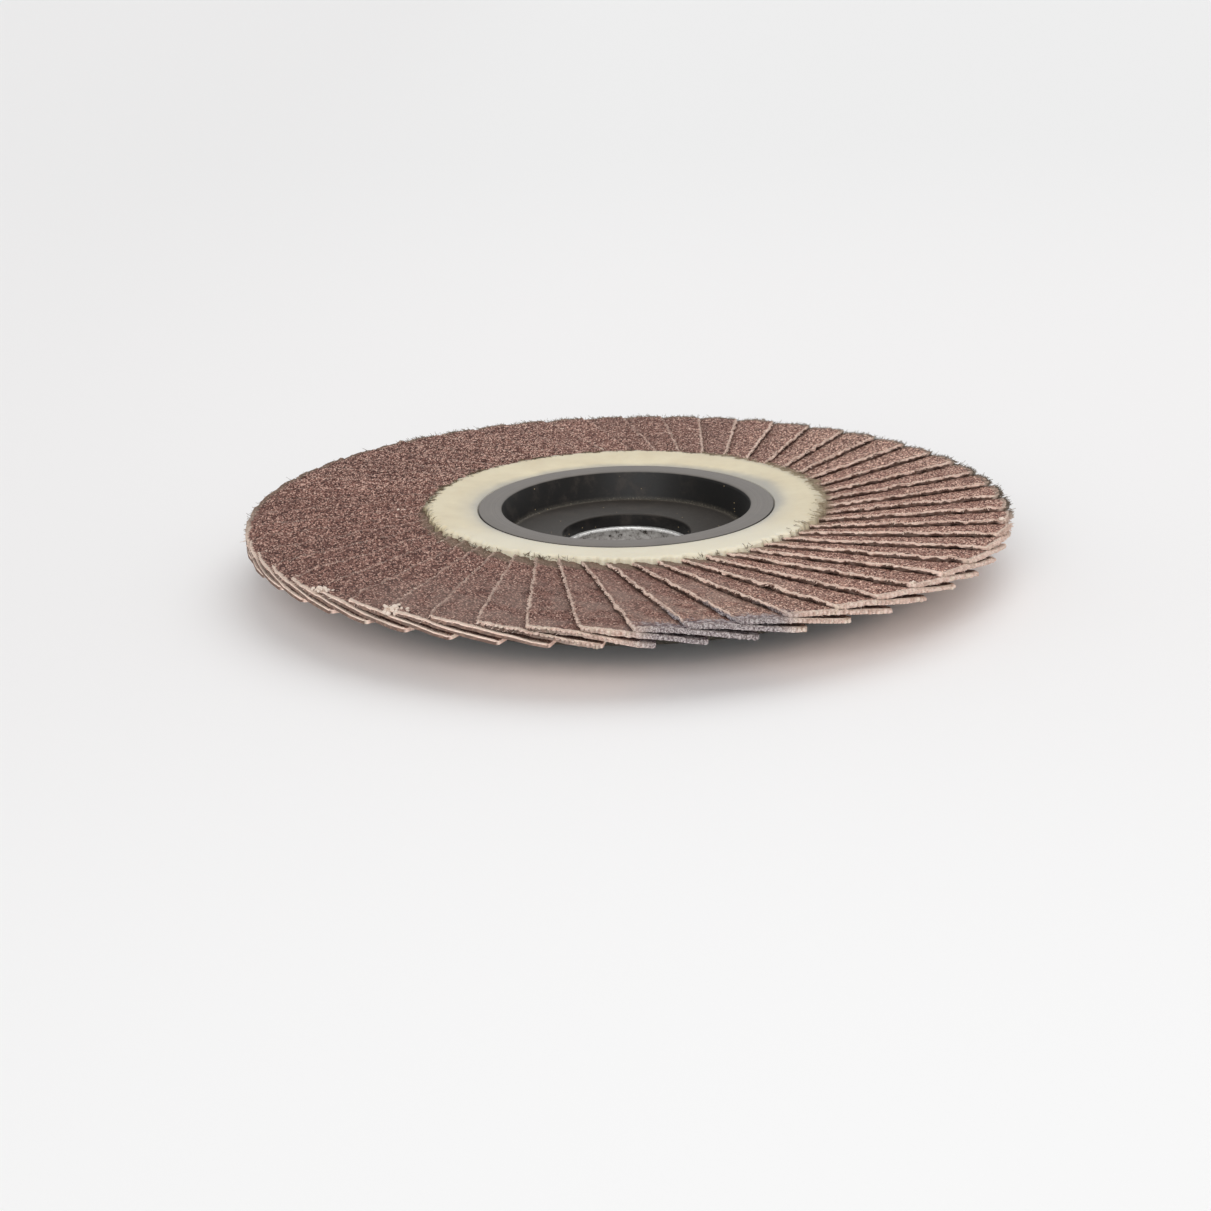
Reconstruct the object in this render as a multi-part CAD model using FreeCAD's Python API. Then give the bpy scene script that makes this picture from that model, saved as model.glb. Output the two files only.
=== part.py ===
# Flap disc for an angle grinder: overlapping abrasive cloth flaps set in a cast resin ring round a moulded hub.
# The origin is the centre of the back face. +Z is the disc axis and points to the abrasive side.
import FreeCAD
import Part
import math
import os

Vector = FreeCAD.Vector
AXIS = Vector(0, 0, 1)
CENTRE = Vector(0, 0, 0)

# Hub moulding, in millimetres
HUB_HEIGHT = 8.5
COLLAR_RADIUS = 19.5
COLLAR_WIDTH = 3.0
CUP_DRAFT = 0.9
CUP_DEPTH = 3.85
WEB_THICKNESS = 1.8
WEB_HOLE_MARGIN = 0.5
BOSS_RADIUS = 20.0
BOSS_DRAFT = 0.4
FLANGE_THICKNESS = 1.8
FLANGE_EDGE_CHAMFER = 0.5
COLLAR_EDGE_CHAMFER = 0.2
BOSS_EDGE_CHAMFER = 0.4

# Steel sleeve that is moulded into the hub, with a shoulder that keeps it from pulling out of the back
BORE_RADIUS = 8.0
SLEEVE_WALL = 3.0
SLEEVE_SHOULDER_STEP = 1.0
SLEEVE_NECK_HEIGHT = 1.2

# Flaps: strips of abrasive cloth, each lying on the one before it, with their outer ends trimmed to a round rim
DISC_RADIUS = 50.0
FLANGE_SETBACK = 10.0
FLAP_COUNT = 52
FIRST_FLAP_ANGLE = 5.68
FLAP_WIDTH = 14.5
FLAP_THICKNESS = 0.7
EXPOSED_EDGE_OFFSET = 11.0
ROOT_SETBACK = 3.0
ROOT_SINK = 0.25
ROOT_GLUE_FILM = 0.08
RIM_AIR_GAP = 0.38
FLAP_PANELS = 6
FLAP_END_FACETS = 3
BED_GLUE_FILM = 0.03

# Resin ring: level with the collar, rising to a low crown, and lapping over the flap roots
RESIN_WIDTH = 6.8
RESIN_CROWN_RISE = 0.5
RESIN_CROWN_SETBACK = 1.2
RESIN_EDGE_DROP = 0.25
RESIN_SEAT_GAP = 0.02
ROOT_WALL_GAP = 0.06

# Sizes that follow from the ones above
CUP_MOUTH_RADIUS = COLLAR_RADIUS - COLLAR_WIDTH
CUP_FLOOR_RADIUS = CUP_MOUTH_RADIUS - CUP_DRAFT
SLEEVE_NECK_RADIUS = BORE_RADIUS + SLEEVE_WALL
SLEEVE_SHOULDER_RADIUS = SLEEVE_NECK_RADIUS + SLEEVE_SHOULDER_STEP
WEB_HOLE_RADIUS = BORE_RADIUS + WEB_HOLE_MARGIN
FLANGE_RADIUS = DISC_RADIUS - FLANGE_SETBACK
FLAP_ROOT_DISTANCE = COLLAR_RADIUS + ROOT_SETBACK
RESIN_LIP_RADIUS = COLLAR_RADIUS + RESIN_WIDTH
FLAP_PITCH = 2 * math.pi / FLAP_COUNT
FLAP_END_DISTANCE = math.sqrt(DISC_RADIUS**2 - EXPOSED_EDGE_OFFSET**2)
ROOT_RISE = FLAP_THICKNESS + ROOT_GLUE_FILM
RIM_RISE = FLAP_THICKNESS + RIM_AIR_GAP
ROOT_SLOPE = ROOT_RISE / (FLAP_ROOT_DISTANCE * FLAP_PITCH)
RIM_SLOPE = RIM_RISE / (FLAP_END_DISTANCE * FLAP_PITCH)
HIDDEN_EDGE_OFFSET = FLAP_WIDTH - EXPOSED_EDGE_OFFSET
CUP_FLOOR_HEIGHT = HUB_HEIGHT - CUP_DEPTH
SLEEVE_HEIGHT = CUP_FLOOR_HEIGHT - WEB_THICKNESS


def flap_top(distance, side):
    """Height of a flap's abrasive face, at a distance along the flap and a side step across it.

    The exposed long edge lies at side = -EXPOSED_EDGE_OFFSET. The flap dips away from it under the next flap,
    steeply at the crowded root and gently at the rim, so the face is a ruled twist.
    """
    share = (distance - FLAP_ROOT_DISTANCE) / (FLAP_END_DISTANCE - FLAP_ROOT_DISTANCE)
    edge_height = HUB_HEIGHT - ROOT_SINK * (1 - share)
    slope = ROOT_SLOPE + share * (RIM_SLOPE - ROOT_SLOPE)
    return edge_height - slope * (side + EXPOSED_EDGE_OFFSET)


def flap_underside(distance):
    """Height of the lowest line of the stack, under the hidden long edge."""
    return flap_top(distance, HIDDEN_EDGE_OFFSET) - FLAP_THICKNESS


def bed_height(radius):
    """Height of the flange's conical top, a glue film below the hidden edges of the flaps."""
    inner_distance = FLAP_ROOT_DISTANCE
    outer_distance = math.sqrt(FLANGE_RADIUS**2 - HIDDEN_EDGE_OFFSET**2)
    inner_radius = math.hypot(inner_distance, HIDDEN_EDGE_OFFSET)
    inner_height = flap_underside(inner_distance) - BED_GLUE_FILM
    outer_height = flap_underside(outer_distance) - BED_GLUE_FILM
    share = (radius - inner_radius) / (FLANGE_RADIUS - inner_radius)
    return inner_height + share * (outer_height - inner_height)


def turned(profile):
    """Solid of revolution about the disc axis, from (radius, height) points."""
    points = [Vector(radius, 0, height) for radius, height in profile]
    face = Part.Face(Part.makePolygon(points + points[:1]))
    return face.revolve(CENTRE, AXIS, 360)


def flat_face(corners):
    return Part.Face(Part.makePolygon(corners + corners[:1]))


def closed_solid(faces):
    """Solid inside a set of faces that meet edge to edge."""
    shell = Part.makeShell(faces)
    shell.sewShape()
    solid = Part.makeSolid(shell)
    if solid.Volume < 0:
        solid.reverse()
    return solid


def upright_sides(rim, foot):
    """Side faces between an upper and a lower ring of corners."""
    return [flat_face([rim[i - 1], rim[i], foot[i], foot[i - 1]]) for i in range(len(rim))]


def creased_sheet(exposed, hidden, end, thickness):
    """Sheet of flat triangles between two long edges, with a crease from each point of one to that of the other.

    Each panel between two creases folds once more, from its outer exposed corner to its inner hidden corner,
    and the outer end is a fan of triangles from the hidden edge. All these folds lie under the smooth twist.
    """
    drop = Vector(0, 0, -thickness)
    triangles = []
    for inner, outer in zip(range(len(exposed)), range(1, len(exposed))):
        triangles.append([exposed[inner], exposed[outer], hidden[inner]])
        triangles.append([exposed[outer], hidden[outer], hidden[inner]])
    outer_end = [exposed[-1]] + end
    for near, far in zip(outer_end, outer_end[1:]):
        triangles.append([near, far, hidden[-1]])
    top = [flat_face(corners) for corners in triangles]
    underside = [flat_face([corner + drop for corner in corners]) for corners in triangles]
    rim = exposed + end + hidden[::-1]
    return closed_solid(top + underside + upright_sides(rim, [corner + drop for corner in rim]))


def ruled_block(distances, sides, top):
    """Block that stands on the back plane and has a smooth ruled top."""
    near, far = distances
    low, high = sides
    outline = [(near, low), (far, low), (far, high), (near, high)]
    rim = [Vector(distance, side, top(distance, side)) for distance, side in outline]
    foot = [Vector(distance, side, 0) for distance, side in outline]
    roof = Part.makeRuledSurface(Part.makeLine(rim[0], rim[1]), Part.makeLine(rim[3], rim[2]))
    return closed_solid([roof, flat_face(foot)] + upright_sides(rim, foot))


def placed(shape, index):
    """Copy of a flap-shaped piece, turned to its place in the ring."""
    copy = shape.copy()
    copy.rotate(CENTRE, AXIS, FIRST_FLAP_ANGLE + math.degrees(index * FLAP_PITCH))
    return copy


def flap():
    """One flap of abrasive cloth, lying along +X, with its outer end on the circle of the rim."""
    panel_length = (FLAP_END_DISTANCE - FLAP_ROOT_DISTANCE) / FLAP_PANELS
    creases = [FLAP_ROOT_DISTANCE + panel_length * index for index in range(FLAP_PANELS + 1)]
    facet_width = FLAP_WIDTH / FLAP_END_FACETS
    end_sides = [facet_width * index - EXPOSED_EDGE_OFFSET for index in range(1, FLAP_END_FACETS + 1)]

    def on_top(distance, side):
        return Vector(distance, side, flap_top(distance, side))

    exposed = [on_top(distance, -EXPOSED_EDGE_OFFSET) for distance in creases]
    hidden = [on_top(distance, HIDDEN_EDGE_OFFSET) for distance in creases]
    end = [on_top(math.sqrt(DISC_RADIUS**2 - side**2), side) for side in end_sides]
    return creased_sheet(exposed, hidden, end, FLAP_THICKNESS)


def bore_sleeve():
    return turned(
        [
            (BORE_RADIUS, 0),
            (SLEEVE_NECK_RADIUS, 0),
            (SLEEVE_NECK_RADIUS, SLEEVE_NECK_HEIGHT),
            (SLEEVE_SHOULDER_RADIUS, SLEEVE_NECK_HEIGHT),
            (SLEEVE_SHOULDER_RADIUS, SLEEVE_HEIGHT),
            (BORE_RADIUS, SLEEVE_HEIGHT),
        ]
    )


def backing_plate():
    """Hub and flange in one moulding: nut cup and collar on the face, boss behind, conical flange under the flaps."""
    boss_foot_radius = BOSS_RADIUS + BOSS_DRAFT
    cup_slope = (CUP_MOUTH_RADIUS - CUP_FLOOR_RADIUS) / CUP_DEPTH
    return turned(
        [
            (SLEEVE_NECK_RADIUS, 0),
            (SLEEVE_NECK_RADIUS, SLEEVE_NECK_HEIGHT),
            (SLEEVE_SHOULDER_RADIUS, SLEEVE_NECK_HEIGHT),
            (SLEEVE_SHOULDER_RADIUS, SLEEVE_HEIGHT),
            (WEB_HOLE_RADIUS, SLEEVE_HEIGHT),
            (WEB_HOLE_RADIUS, CUP_FLOOR_HEIGHT),
            (CUP_FLOOR_RADIUS, CUP_FLOOR_HEIGHT),
            (CUP_MOUTH_RADIUS - cup_slope * COLLAR_EDGE_CHAMFER, HUB_HEIGHT - COLLAR_EDGE_CHAMFER),
            (CUP_MOUTH_RADIUS + COLLAR_EDGE_CHAMFER, HUB_HEIGHT),
            (COLLAR_RADIUS, HUB_HEIGHT),
            (COLLAR_RADIUS, bed_height(COLLAR_RADIUS)),
            (FLANGE_RADIUS, bed_height(FLANGE_RADIUS)),
            (FLANGE_RADIUS, bed_height(FLANGE_RADIUS) - FLANGE_THICKNESS + FLANGE_EDGE_CHAMFER),
            (
                FLANGE_RADIUS - FLANGE_EDGE_CHAMFER,
                bed_height(FLANGE_RADIUS - FLANGE_EDGE_CHAMFER) - FLANGE_THICKNESS,
            ),
            (boss_foot_radius, bed_height(boss_foot_radius) - FLANGE_THICKNESS),
            (BOSS_RADIUS, BOSS_EDGE_CHAMFER),
            (BOSS_RADIUS - BOSS_EDGE_CHAMFER, 0),
        ]
    )


def root_groove():
    """Groove that clears the inner edges of the flap roots, up to where the stepped seats take over.

    Its sloping ceiling starts at the height of the root edge half-way to the seat, which makes it tangent to the
    root edges where they reach the seats and clear of them everywhere else.
    """
    wall_radius = FLAP_ROOT_DISTANCE - ROOT_WALL_GAP
    pitch_at_root = FLAP_ROOT_DISTANCE * FLAP_PITCH
    seat_start_side = pitch_at_root - EXPOSED_EDGE_OFFSET
    seat_start_radius = math.hypot(FLAP_ROOT_DISTANCE, seat_start_side) + ROOT_WALL_GAP
    return turned(
        [
            (wall_radius, 0),
            (wall_radius, flap_top(FLAP_ROOT_DISTANCE, seat_start_side / 2) + ROOT_WALL_GAP),
            (seat_start_radius, flap_top(FLAP_ROOT_DISTANCE, seat_start_side) + ROOT_WALL_GAP),
            (seat_start_radius, 0),
        ]
    )


def root_seat():
    """Room for one flap's exposed strip under the resin lip, open below down to the flange."""
    pitch_at_root = FLAP_ROOT_DISTANCE * FLAP_PITCH
    return ruled_block(
        (FLAP_ROOT_DISTANCE - ROOT_WALL_GAP, RESIN_LIP_RADIUS + ROOT_WALL_GAP),
        (-EXPOSED_EDGE_OFFSET - RESIN_SEAT_GAP, 2 * pitch_at_root - EXPOSED_EDGE_OFFSET),
        lambda distance, side: flap_top(distance, side) + RESIN_SEAT_GAP,
    )


def resin_ring():
    """Cast ring between the collar and the flap roots, whose crowned lip laps over the roots."""
    crown_height = HUB_HEIGHT + RESIN_CROWN_RISE
    ring = turned(
        [
            (COLLAR_RADIUS, bed_height(COLLAR_RADIUS)),
            (COLLAR_RADIUS, HUB_HEIGHT),
            (RESIN_LIP_RADIUS - RESIN_CROWN_SETBACK, crown_height),
            (RESIN_LIP_RADIUS, crown_height - RESIN_EDGE_DROP),
            (RESIN_LIP_RADIUS, bed_height(RESIN_LIP_RADIUS)),
        ]
    )
    seat = root_seat()
    seats = [placed(seat, index) for index in range(FLAP_COUNT)]
    return ring.cut([root_groove()] + seats)


def build():
    nodes = {
        "backing_plate": backing_plate(),
        "bore_sleeve": bore_sleeve(),
        "resin_ring": resin_ring(),
    }
    pattern_flap = flap()
    for index in range(FLAP_COUNT):
        nodes[f"flap_{index + 1:02d}"] = placed(pattern_flap, index)
    return nodes


os.makedirs("parts", exist_ok=True)
for name, shape in build().items():
    shape.exportStep(f"parts/{name}.step")
    print(name, "solids", len(shape.Solids), "valid", shape.isValid(), "volume", round(shape.Volume, 2))
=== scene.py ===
# Flap disc: frayed abrasive flaps in a cast resin ring round a black moulded hub, on a pale floor.
# All lengths are in metres. The origin is the centre of the disc's back face, and +Z is its axis.
import bmesh
import bpy
import itertools
import math
import random
from mathutils import Matrix, Vector, noise


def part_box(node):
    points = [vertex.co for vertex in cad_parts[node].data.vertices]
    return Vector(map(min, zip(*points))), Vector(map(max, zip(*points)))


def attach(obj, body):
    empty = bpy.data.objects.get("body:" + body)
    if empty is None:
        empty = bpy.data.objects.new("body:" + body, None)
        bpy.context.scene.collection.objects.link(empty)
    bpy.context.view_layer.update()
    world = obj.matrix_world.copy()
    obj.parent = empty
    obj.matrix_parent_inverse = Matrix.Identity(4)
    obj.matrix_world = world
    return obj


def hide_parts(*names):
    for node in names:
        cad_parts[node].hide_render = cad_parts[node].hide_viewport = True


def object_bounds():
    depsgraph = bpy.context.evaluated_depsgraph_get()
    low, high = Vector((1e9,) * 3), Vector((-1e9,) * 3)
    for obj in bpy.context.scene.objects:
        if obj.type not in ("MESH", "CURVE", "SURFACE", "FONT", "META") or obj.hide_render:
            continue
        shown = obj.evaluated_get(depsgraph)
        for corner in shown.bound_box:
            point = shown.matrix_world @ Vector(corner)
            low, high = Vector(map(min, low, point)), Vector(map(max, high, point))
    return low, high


MM = 0.001

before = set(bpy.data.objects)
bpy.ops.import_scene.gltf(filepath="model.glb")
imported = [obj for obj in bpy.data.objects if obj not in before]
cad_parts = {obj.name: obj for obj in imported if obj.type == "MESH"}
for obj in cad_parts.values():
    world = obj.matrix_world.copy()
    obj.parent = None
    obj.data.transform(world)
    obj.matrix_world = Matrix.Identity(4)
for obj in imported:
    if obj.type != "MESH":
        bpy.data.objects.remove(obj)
cad_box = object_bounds()

# Sizes read from the frame
HUB_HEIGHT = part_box("backing_plate")[1].z
FLANGE_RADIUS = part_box("backing_plate")[1].x
SLEEVE_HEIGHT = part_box("bore_sleeve")[1].z
SLEEVE_SHOULDER_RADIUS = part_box("bore_sleeve")[1].x
RESIN_LIP_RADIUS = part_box("resin_ring")[1].x
RESIN_CROWN_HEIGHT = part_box("resin_ring")[1].z
DISC_RADIUS = cad_box[1].x
FLAP_NODES = sorted(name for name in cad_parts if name.startswith("flap_"))
FLAP_COUNT = len(FLAP_NODES)

# Hub moulding and steel sleeve
COLLAR_RADIUS = 19.5 * MM
CUP_MOUTH_RADIUS = 16.5 * MM
CUP_FLOOR_RADIUS = 15.6 * MM
CUP_DEPTH = 3.85 * MM
WEB_HOLE_RADIUS = 8.5 * MM
BOSS_RADIUS = 20.0 * MM
BOSS_DRAFT = 0.4 * MM
FLANGE_THICKNESS = 1.8 * MM
BORE_RADIUS = 8.0 * MM
SLEEVE_NECK_RADIUS = 11.0 * MM
SLEEVE_NECK_HEIGHT = 1.2 * MM
CUP_FLOOR_HEIGHT = HUB_HEIGHT - CUP_DEPTH
HUB_EDGE_RADIUS = 0.18 * MM
SLEEVE_EDGE_RADIUS = 0.12 * MM
TURNED_SIDES = 192

# Resin ring: its top goes through these radii in millimetres, at shares of its whole rise above the hub
RESIN_TOP = [(20.5, 0.22), (22.0, 0.55), (23.5, 0.88), (24.6, 1.0), (25.4, 1.0), (25.9, 0.88)]
RESIN_FOOT_RADIUS = 25.0 * MM
RESIN_FOOT_DEPTH = 1.0 * MM
RESIN_LUMP_HEIGHT = 0.1 * MM
RESIN_LUMPY_FROM = 24.0 * MM
RESIN_LUMPIEST_FROM = 26.4 * MM
FRONT_DROP = 0.36 * MM
FRONT_DROP_FROM = 21.0 * MM
FRONT_DROP_FULL_FROM = 24.6 * MM
RESIN_SIDES = 640
FIBRE_CLUMPS = 170
FIBRES_IN_CLUMP = 10
LONG_FIBRES = 300
# Angles round the axis between which most clumps are left out, and their share
BARE_LIP_FROM = -2.0
BARE_LIP_TO = -0.7
BARE_LIP_SHARE = 0.8

# Flaps
FIRST_FLAP_ANGLE = math.radians(5.68)
FLAP_PITCH = 2 * math.pi / FLAP_COUNT
FLAP_WIDTH = 14.5 * MM
FLAP_THICKNESS = 0.7 * MM
SHEET_THICKNESS = 0.6 * MM
GRAIN_DEPTH = 0.13 * MM
PALE_DEPTH = 0.22 * MM
EXPOSED_EDGE_OFFSET = 11.0 * MM
HIDDEN_EDGE_OFFSET = FLAP_WIDTH - EXPOSED_EDGE_OFFSET
FLAP_ROOT_DISTANCE = 22.5 * MM
FLAP_END_DISTANCE = math.sqrt(DISC_RADIUS**2 - EXPOSED_EDGE_OFFSET**2)
ROOT_SINK = 0.25 * MM
ROOT_RISE = FLAP_THICKNESS + 0.08 * MM
RIM_RISE = FLAP_THICKNESS + 0.38 * MM
BED_GLUE_FILM = 0.03 * MM
OPEN_STRIP = 6.6 * MM
OPEN_STRIP_CUTS = 19
BURIED_CUTS = 3
LENGTH_CUTS = 83
BACK_LIFT = 0.45 * MM
BACK_LIFT_AT_ROOT = 0.62
EDGE_UNDERCUT = 0.1 * MM
# How far an outer corner is worn back and down, and how much of the flap goes with it
EXPOSED_CORNER_WEAR = ((-0.35 * MM, 0.15 * MM, -0.15 * MM), 3.0 * MM)
HIDDEN_CORNER_WEAR = ((-0.25 * MM, -0.3 * MM, 0), 0.8 * MM)
RIPPLE_SIZE = 4.0 * MM
RIPPLE_HEIGHT = 0.25 * MM
GRIT_SIZE = 0.35 * MM
GRIT_HEIGHT = 0.2 * MM

# Frayed yarn at the cut edges of the flaps
FRINGE_SETS = 3
YARN_PITCH = 0.42 * MM
BEAD_PITCH = 0.58 * MM
BEAD_RADIUS = 0.31 * MM
STUB_RADIUS = 0.07 * MM
STUB_LENGTH = 0.34 * MM
STUB_INSET = 0.16 * MM
STUB_DEPTH = 0.1 * MM
END_RECESS = 0.15 * MM
HAIR_RADIUS = 0.045 * MM
HAIR_LENGTH = 0.7 * MM
LONG_HAIR_EVERY = 14
FRAYED_DEPTH = 0.7 * MM
END_FRAY_SHARE = 0.5
WAVE_SIZE = 1.8 * MM
WAVE_REACH = 0.65 * MM
CURL_SIZE = 0.55 * MM
CURL_REACH = 0.5 * MM
LOOSE_CURL_REACH = 0.8 * MM
# How many beads and hairs an end has. The far and right ends are fuzzy, the left ones plain.
BEADS_AND_HAIRS = {"beaded": (25, 50), "plain": (0, 8), "fuzzy": (0, 220)}
FUZZY_ABOVE_SINE = -0.22
FUZZY_ABOVE_COSINE = -0.76
PLAIN_BELOW_COSINE = -0.25
LUMP_RADIUS = 0.24 * MM
LUMPS_IN_TUFT = 20
# Flap, then the clump's distance along it, its step in from the exposed edge and its size
TUFTS = [
    ("flap_34", 48.3, 0.9, 1.5),
    ("flap_36", 48.2, 1.0, 1.7),
    ("flap_52", 47.8, 0.4, 0.6),
    ("flap_28", 31.2, 2.4, 0.4),
    ("flap_29", 27.4, 0.3, 0.3),
    ("flap_29", 28.2, 0.2, 0.25),
    ("flap_22", 30.6, 2.6, 0.4),
    ("flap_47", 48.0, 0.5, 0.5),
]

# Grey stain on the front edge: its place in millimetres, and the distances where it is none and full
STAIN_PLACE = (9.5, -50.0)
STAIN_REACH = (11.5, 6.5)

# Light and floor
SKY_ON_OBJECT = 0.52
SKY_AS_SEEN = 0.88
KEY_LAMP = ((0.35, 0.45, 1.0), 0.9, 60)
FRONT_LAMP = ((-0.2, -0.9, 0.42), 1.75, 50)
FLOOR_SIDE = 12
FLOOR_GAP = 0.02 * MM

# Camera that matches the picture: place of the hub's rim centre in a 1211 pixel square frame, and the lens
PICTURE_SIDE = 1211
HUB_RIM_PIXEL = (626.0, 503.5)
FOCAL_PIXELS = 2192
CAMERA_DISTANCE = 290 * MM
CAMERA_PITCH = math.radians(18.5)
CAMERA_ROLL = math.radians(-1.51)
SENSOR_WIDTH = 36

random.seed(52)


def rgb(red, green, blue):
    """Colour as the screen shows it, from 0 to 255, turned into the linear one that nodes take."""
    screen = [channel / 255 for channel in (red, green, blue)]
    linear = [c / 12.92 if c <= 0.04045 else ((c + 0.055) / 1.055) ** 2.4 for c in screen]
    return (*linear, 1)


class Wire:
    """Output socket of a node, so that a sum written in Python becomes Math nodes."""

    def __init__(self, finish, socket):
        self.finish = finish
        self.socket = socket

    def maths(self, operation, *values):
        return self.finish.node("ShaderNodeMath", {"operation": operation}, dict(enumerate(values)))

    def __add__(self, other):
        return self.maths("ADD", self, other)

    def __radd__(self, other):
        return self.maths("ADD", other, self)

    def __sub__(self, other):
        return self.maths("SUBTRACT", self, other)

    def __rsub__(self, other):
        return self.maths("SUBTRACT", other, self)

    def __mul__(self, other):
        return self.maths("MULTIPLY", self, other)

    def __rmul__(self, other):
        return self.maths("MULTIPLY", other, self)

    def __truediv__(self, other):
        return self.maths("DIVIDE", self, other)

    def __pow__(self, other):
        return self.maths("POWER", self, other)

    def __abs__(self):
        return self.maths("ABSOLUTE", self)

    def sine(self):
        return self.maths("SINE", self)

    def cosine(self):
        return self.maths("COSINE", self)


class Finish:
    """One material, built up node by node."""

    def __init__(self, name):
        self.material = bpy.data.materials.new(name)
        self.material.use_nodes = True
        self.tree = self.material.node_tree
        self.tree.nodes.clear()

    def node(self, kind, settings=None, sockets=None, output=0):
        """Adds a node: first its settings, with a ramp's stops, then its sockets' values or links."""
        made = self.tree.nodes.new(kind)
        for name, value in (settings or {}).items():
            if name == "stops":
                ramp = made.color_ramp.elements
                while len(ramp) < len(value):
                    ramp.new(0.5)
                for element, (place, colour) in zip(ramp, value):
                    element.position = place
                    element.color = colour
            else:
                setattr(made, name, value)
        for name, value in (sockets or {}).items():
            if isinstance(value, Wire):
                self.tree.links.new(value.socket, made.inputs[name])
            else:
                made.inputs[name].default_value = value
        return Wire(self, made.outputs[output]) if made.outputs else None

    def place(self):
        """Object coordinates in millimetres."""
        metres = self.node("ShaderNodeTexCoord", output="Object")
        return self.node("ShaderNodeVectorMath", {"operation": "SCALE"}, {0: metres, "Scale": 1 / MM})

    def split(self, vector):
        """The three parts of a vector or colour."""
        return [self.node("ShaderNodeSeparateXYZ", None, {0: vector}, axis) for axis in range(3)]

    def distance(self, place, point):
        """Distance in millimetres from a point given in millimetres."""
        return self.node("ShaderNodeVectorMath", {"operation": "DISTANCE"}, {0: place, 1: point}, "Value")

    def polar(self, x, y, length_per_mm):
        """Place on the disc's face unrolled at the flap roots, so that a noise on it makes radial streaks."""
        radius = (x * x + y * y) ** 0.5
        angle = self.node("ShaderNodeMath", {"operation": "ARCTAN2"}, {0: y, 1: x})
        sockets = {0: angle * (FLAP_ROOT_DISTANCE / MM), 1: radius * length_per_mm, 2: 0.0}
        return self.node("ShaderNodeCombineXYZ", None, sockets)

    def stain(self, place, height):
        """1 in the middle of the stain and 0 outside it."""
        return self.fade(self.distance(place, (*STAIN_PLACE, height)), *STAIN_REACH)

    def noise(self, place, per_mm, detail=2.0, roughness=0.5):
        sockets = {"Vector": place, "Scale": per_mm, "Detail": detail, "Roughness": roughness}
        return self.node("ShaderNodeTexNoise", None, sockets)

    def cells(self, place, per_mm, output):
        return self.node("ShaderNodeTexVoronoi", None, {"Vector": place, "Scale": per_mm}, output)

    def fade(self, value, low, high):
        """0 below low and 1 above high, smooth between them. With low above high it falls."""
        sockets = {0: value, 1: low, 2: high, 3: 0.0, 4: 1.0}
        return self.node("ShaderNodeMapRange", {"interpolation_type": "SMOOTHSTEP"}, sockets)

    def ramp(self, value, stops):
        return self.node("ShaderNodeValToRGB", {"stops": stops}, {0: value})

    def mix(self, share, colour_a, colour_b, blend="MIX"):
        settings = {"data_type": "RGBA", "blend_type": blend}
        return self.node("ShaderNodeMix", settings, {0: share, 6: colour_a, 7: colour_b}, 2)

    def bump(self, height, depth):
        """Normal of a surface whose height runs from 0 to 1 over a depth in metres."""
        return self.node("ShaderNodeBump", None, {"Strength": 1.0, "Distance": depth, "Height": height})

    def close(self, **sockets):
        """Ends the material in one Principled shader."""
        named = {name.replace("_", " "): value for name, value in sockets.items()}
        shader = self.node("ShaderNodeBsdfPrincipled", None, named)
        self.node("ShaderNodeOutputMaterial", None, {"Surface": shader})
        return self.material


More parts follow.
